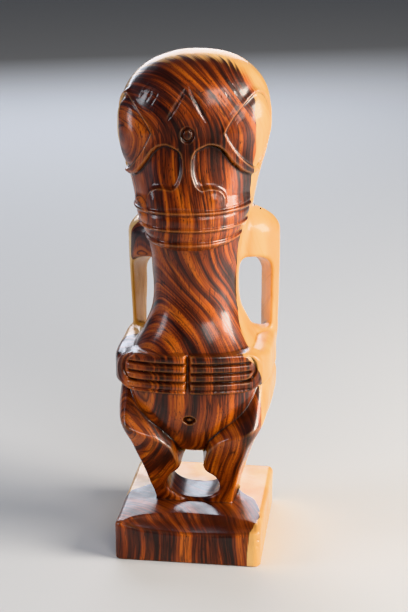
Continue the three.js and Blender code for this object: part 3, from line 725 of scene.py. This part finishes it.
print("carving:", len(carving.vertices), "points,", len(carving.polygons), "faces")

# %% [markdown]
# ## Wood
# The block is rosewood cut near the bark: dark red-brown heartwood in front and pale sapwood
# behind, with a sharp line between them. Both follow the growth rings, so the colour is
# worked out from the distance to the pith, which leans forward towards the top.


# %% Small helpers for shader nodes
def feed(tree, socket, value):
    if isinstance(value, bpy.types.NodeSocket):
        tree.links.new(value, socket)
    else:
        socket.default_value = value


def calc(tree, operation, *values, clamp=False):
    node = tree.nodes.new("ShaderNodeMath")
    node.operation = operation
    node.use_clamp = clamp
    for socket, value in zip(node.inputs, values):
        feed(tree, socket, value)
    return node.outputs[0]


def vector_calc(tree, operation, *values):
    node = tree.nodes.new("ShaderNodeVectorMath")
    node.operation = operation
    names = {"SCALE": ("Vector", "Scale")}.get(operation)
    sockets = [node.inputs[n] for n in names] if names else node.inputs
    for socket, value in zip(sockets, values):
        feed(tree, socket, value)
    return node.outputs["Value" if operation == "LENGTH" else "Vector"]


def between(tree, value, start, end, low=0.0, high=1.0, smooth=True):
    node = tree.nodes.new("ShaderNodeMapRange")
    node.interpolation_type = "SMOOTHSTEP" if smooth else "LINEAR"
    for name, given in (("Value", value), ("From Min", start), ("From Max", end), ("To Min", low),
                        ("To Max", high)):
        feed(tree, node.inputs[name], given)
    return node.outputs[0]


def blend_colour(tree, share, first, second, mode="MIX"):
    node = tree.nodes.new("ShaderNodeMix")
    node.data_type = "RGBA"
    node.blend_type = mode
    feed(tree, node.inputs["Factor"], share)
    feed(tree, node.inputs[6], first)
    feed(tree, node.inputs[7], second)
    return node.outputs[2]


def noise(tree, vector, scale, detail=2.0, roughness=0.5):
    node = tree.nodes.new("ShaderNodeTexNoise")
    for name, given in (("Vector", vector), ("Scale", scale), ("Detail", detail),
                        ("Roughness", roughness)):
        feed(tree, node.inputs[name], given)
    return node.outputs["Fac"]


def stretched(tree, vector, across, along):
    """The vector measured in streak widths across and streak lengths along the grain."""
    node = tree.nodes.new("ShaderNodeVectorMath")
    node.operation = "DIVIDE"
    feed(tree, node.inputs[0], vector)
    node.inputs[1].default_value = (across, across, along)
    return node.outputs[0]


def ramp_colour(tree, value, stops):
    node = tree.nodes.new("ShaderNodeValToRGB")
    feed(tree, node.inputs[0], value)
    elements = node.color_ramp.elements
    while len(elements) < len(stops):
        elements.new(0.5)
    for element, (position, colour) in zip(elements, stops):
        element.position, element.color = position, (*colour, 1)
    return node.outputs[0]


def combine(tree, x, y, z):
    node = tree.nodes.new("ShaderNodeCombineXYZ")
    for socket, value in zip(node.inputs, (x, y, z)):
        feed(tree, socket, value)
    return node.outputs[0]


def attribute(tree, name):
    node = tree.nodes.new("ShaderNodeAttribute")
    node.attribute_name = name
    return node.outputs["Fac"]


def apart(tree, vector):
    node = tree.nodes.new("ShaderNodeSeparateXYZ")
    feed(tree, node.inputs[0], vector)
    return node.outputs


# %% [markdown]
# ## Growth rings
# A tree grows in rings round its pith, and the rings run far up the trunk. So the streaks are
# noise that changes fast with the distance to the pith, slowly round it and slower still with
# the height. The pith lies in front of the block and to one side, and it wanders where the
# streaks slant across the waist.


# %% Streaks that follow the rings
def ring_noise(tree, distance, turn, width, detail):
    """Noise that is thin across the growth rings and long round them and up the tree."""
    node = tree.nodes.new("ShaderNodeTexNoise")
    node.noise_dimensions = "4D"
    feed(tree, node.inputs["Vector"], turn)
    feed(tree, node.inputs["W"], calc(tree, "DIVIDE", distance, width))
    node.inputs["Scale"].default_value = 1.0
    node.inputs["Detail"].default_value = detail
    return node.outputs["Fac"]


def ring_place(tree, mm):
    """Distance to the pith of the streaks, and the slow place round it and up the tree."""
    x, y, z = apart(tree, mm)
    wander = calc(tree, "MULTIPLY", calc(tree, "SUBTRACT", noise(tree, mm, 0.03, 1.0), 0.5), 9.0)
    pith_x = between(tree, z, 82.0, 132.0, -34.0, -60.0)
    pith_y = between(tree, z, 168.0, 196.0, -45.0, -72.0)
    from_pith = combine(tree, calc(tree, "SUBTRACT", calc(tree, "ADD", x, wander), pith_x),
                        calc(tree, "SUBTRACT", y, pith_y), 0.0)
    distance = vector_calc(tree, "LENGTH", from_pith)
    round_pith = vector_calc(tree, "SCALE", vector_calc(tree, "NORMALIZE", from_pith), 2.0)
    up_tree = combine(tree, 0.0, 0.0, calc(tree, "DIVIDE", z, 40.0))
    return distance, vector_calc(tree, "ADD", round_pith, up_tree)


# %% [markdown]
# ## Heartwood
# The heartwood runs from nearly black through red-brown to orange. Two widths of streak are
# mixed, thin dark lines mark single rings, and short dark pores lie along the grain. End
# grain drinks more varnish, so faces that look up are darker and greyer.


# %% Heartwood colour
def heartwood(tree, mm, distance, turn, up_share):
    broad = ring_noise(tree, distance, turn, 4.4, 1.0)
    fine = ring_noise(tree, distance, turn, 0.95, 2.5)
    lines = ring_noise(tree, distance, turn, 2.3, 1.5)
    tone = calc(tree, "ADD", calc(tree, "MULTIPLY", broad, 0.5), calc(tree, "MULTIPLY", fine, 0.5))
    colour = ramp_colour(tree, tone, [
        (0.38, (0.016, 0.005, 0.004)), (0.46, (0.085, 0.015, 0.006)),
        (0.53, (0.27, 0.045, 0.008)), (0.62, (0.56, 0.125, 0.012)),
    ])
    off_line = calc(tree, "ABSOLUTE", calc(tree, "SUBTRACT", lines, 0.5))
    colour = blend_colour(tree, between(tree, off_line, 0.0, 0.035, 0.75, 0.0), colour,
                          (0.012, 0.005, 0.004, 1))
    pores = noise(tree, stretched(tree, mm, 0.32, 4.5), 1.0, 1.0)
    pore_share = between(tree, pores, 0.58, 0.70, 0.0, 0.8)
    colour = blend_colour(tree, pore_share, colour, (0.010, 0.004, 0.003, 1))
    colour = blend_colour(tree, calc(tree, "MULTIPLY", up_share, 0.55), colour,
                          (0.055, 0.024, 0.020, 1))
    return colour, fine, pore_share


# %% [markdown]
# ## Sapwood
# Behind the heartwood lies the pale sapwood, with a sharp line between them that also follows
# the rings. On the crown the saw ran along the line, so it is broad and streaky there.


# %% Sapwood colour and where it starts
def sapwood(tree, mm, fine):
    cloud = noise(tree, stretched(tree, mm, 9.0, 30.0), 1.0, 2.0)
    pale = blend_colour(tree, between(tree, cloud, 0.35, 0.65), (0.86, 0.52, 0.20, 1),
                        (0.74, 0.38, 0.11, 1))
    return blend_colour(tree, between(tree, fine, 0.5, 0.72, 0.0, 0.35), pale, (0.50, 0.22, 0.06, 1))


def sapwood_share(tree, mm, fine):
    x, y, z = apart(tree, mm)
    waist = calc(tree, "MULTIPLY", between(tree, z, 76.0, 96.0),
                 between(tree, z, 124.0, 146.0, 1.0, 0.0))
    crown = between(tree, z, 178.0, 200.0)
    across = calc(tree, "MULTIPLY", calc(tree, "MULTIPLY_ADD", waist, 10.0, calc(tree, "ADD", x, 2.0)),
                  calc(tree, "MULTIPLY_ADD", crown, -0.55, 1.0))
    pith_y = calc(tree, "MULTIPLY_ADD", z, -0.0776, -16.8)
    behind = calc(tree, "MULTIPLY_ADD", waist, -12.0, calc(tree, "MULTIPLY", crown, 10.0))
    along = calc(tree, "ADD", calc(tree, "SUBTRACT", y, pith_y), behind)
    reach = vector_calc(tree, "LENGTH", combine(tree, across, along, 0.0))
    cloud = noise(tree, stretched(tree, mm, 12.0, 40.0), 1.0)
    reach = calc(tree, "ADD", reach, calc(tree, "MULTIPLY", calc(tree, "SUBTRACT", cloud, 0.5), 4.0))
    streaks = calc(tree, "MULTIPLY", calc(tree, "SUBTRACT", fine, 0.5),
                   calc(tree, "MULTIPLY_ADD", crown, 14.0, 1.5))
    soft = calc(tree, "MULTIPLY_ADD", crown, 5.0, 30.4)
    return between(tree, calc(tree, "ADD", reach, streaks), 29.8, soft)


# %% [markdown]
# ## Varnish, painted shade and painted highlights
# Painted shade darkens the bottom of every cut and the broad creases, and a painted highlight lightens
# the raised rims.
# How hollow or how proud each point is was read from the distance field: in a hollow, the
# points around it lie deeper in the wood. Pores and knife marks disturb the gloss a little.

# %% The wood's material
def wood_material():
    material = bpy.data.materials.new("varnished_rosewood")
    material.use_nodes = True
    tree = material.node_tree
    shader = tree.nodes["Principled BSDF"]
    place = tree.nodes.new("ShaderNodeTexCoord")
    mm = vector_calc(tree, "SCALE", place.outputs["Object"], 1000.0)
    up_share = between(tree, apart(tree, place.outputs["Normal"])[2], 0.45, 0.95)
    hollow, deep = (attribute(tree, name) for name in ("hollow", "deep"))

    distance, turn = ring_place(tree, mm)
    heart, fine, pore_share = heartwood(tree, mm, distance, turn, up_share)
    colour = blend_colour(tree, sapwood_share(tree, mm, fine), heart, sapwood(tree, mm, fine))
    # Painted shade: the bottom of every cut and the broad creases are darkened to near black.
    painted_shade = calc(tree, "ADD", between(tree, hollow, 0.06, 0.35, 0.0, 0.75),
                between(tree, deep, 0.1, 0.5, 0.0, 0.4), clamp=True)
    colour = blend_colour(tree, painted_shade, colour, (0.016, 0.006, 0.004, 1))
    # Painted highlight: the raised rims are made lighter and more orange.
    painted_rim_highlight = between(tree, hollow, -0.08, -0.35, 0.0, 0.3)
    colour = blend_colour(tree, painted_rim_highlight, colour, (0.62, 0.24, 0.07, 1))
    feed(tree, shader.inputs["Base Color"], colour)

    patches = noise(tree, mm, 0.09, 3.0)
    feed(tree, shader.inputs["Roughness"], between(tree, patches, 0.3, 0.7, 0.34, 0.55))
    feed(tree, shader.inputs["Coat Weight"], between(tree, patches, 0.3, 0.7, 0.95, 0.6))
    shader.inputs["Coat Roughness"].default_value = 0.16
    ground = calc(tree, "MULTIPLY_ADD", fine, 0.25, noise(tree, mm, 0.35, 2.0))
    bump = tree.nodes.new("ShaderNodeBump")
    bump.inputs["Strength"].default_value = 0.3
    bump.inputs["Distance"].default_value = 0.0004
    feed(tree, bump.inputs["Height"], calc(tree, "MULTIPLY_ADD", pore_share, -0.35, ground))
    feed(tree, shader.inputs["Normal"], bump.outputs[0])
    return material


carving.materials.clear()
carving.materials.append(wood_material())

# %% [markdown]
# ## Floor, light and camera
# A pale sheet lies under the statue. One broad soft light stands on the right, a smaller
# cool one on the left, and the air is pale grey. The camera looks down a little, from just
# right of the middle.


# %% Floor
def pale_floor():
    sheet = bpy.data.meshes.new("floor")
    sheet.from_pydata([(-6, -6, 0), (6, -6, 0), (6, 6, 0), (-6, 6, 0)], [], [(0, 1, 2, 3)])
    floor = bpy.data.objects.new("floor", sheet)
    bpy.context.scene.collection.objects.link(floor)
    material = bpy.data.materials.new("pale_floor")
    material.use_nodes = True
    shader = material.node_tree.nodes["Principled BSDF"]
    shader.inputs["Base Color"].default_value = (0.55, 0.55, 0.56, 1)
    shader.inputs["Roughness"].default_value = 0.8
    sheet.materials.append(material)


pale_floor()


# %% Lights
def soft_light(name, place, target, width, height, watts, colour):
    light = bpy.data.lights.new(name, "AREA")
    light.shape = "RECTANGLE"
    light.size, light.size_y = width, height
    light.energy, light.color = watts, colour
    holder = bpy.data.objects.new(name, light)
    bpy.context.scene.collection.objects.link(holder)
    holder.location = place
    holder.rotation_mode = "QUATERNION"
    aim = Vector(target) - Vector(place)
    holder.rotation_quaternion = aim.to_track_quat("-Z", "Y")
    holder.visible_camera = False


MIDDLE = (0, 0, 0.11)
soft_light("right_window", (0.85, -0.12, 0.42), MIDDLE, 0.45, 0.6, 17, (1.0, 0.94, 0.84))
soft_light("left_window", (-0.75, -0.25, 0.35), MIDDLE, 0.2, 0.5, 2.0, (0.86, 0.92, 1.0))
soft_light("front_fill", (0.4, -0.85, 0.65), MIDDLE, 0.5, 0.5, 4.5, (1.0, 0.96, 0.9))
soft_light("back_window", (-0.35, 1.0, 0.55), MIDDLE, 1.1, 0.5, 7, (0.84, 0.9, 1.0))

world = bpy.data.worlds.new("studio_air")
world.use_nodes = True
world.node_tree.nodes["Background"].inputs[0].default_value = (0.62, 0.65, 0.70, 1)
world.node_tree.nodes["Background"].inputs[1].default_value = 0.22
bpy.context.scene.world = world

# %% Camera
CAMERA_AZIMUTH, CAMERA_ELEVATION, CAMERA_ROLL = 7.348, 18.531, -0.0926
CAMERA_DISTANCE = 0.575045
AIM_RIGHT, AIM_UP = 0.003052, -0.001957

azimuth, elevation = math.radians(CAMERA_AZIMUTH), math.radians(CAMERA_ELEVATION)
right = Vector((math.cos(azimuth), math.sin(azimuth), 0))
back = Vector((math.sin(azimuth) * math.cos(elevation),
                  -math.cos(azimuth) * math.cos(elevation), math.sin(elevation)))
aim = Vector((0, 0, 0.1 + AIM_UP)) + right * AIM_RIGHT
lens = bpy.data.cameras.new("camera")
lens.sensor_fit = "VERTICAL"
lens.sensor_width = lens.sensor_height = 36
lens.lens = 85
lens.clip_start = 0.01
camera = bpy.data.objects.new("camera", lens)
bpy.context.scene.collection.objects.link(camera)
camera.location = aim + back * CAMERA_DISTANCE
camera.rotation_mode = "QUATERNION"
turn = (-back).to_track_quat("-Z", "Y")
roll = Matrix.Rotation(math.radians(CAMERA_ROLL), 4, "Z").to_quaternion()
camera.rotation_quaternion = turn @ roll
bpy.context.scene.camera = camera
bpy.context.scene.view_settings.view_transform = "Khronos PBR Neutral"
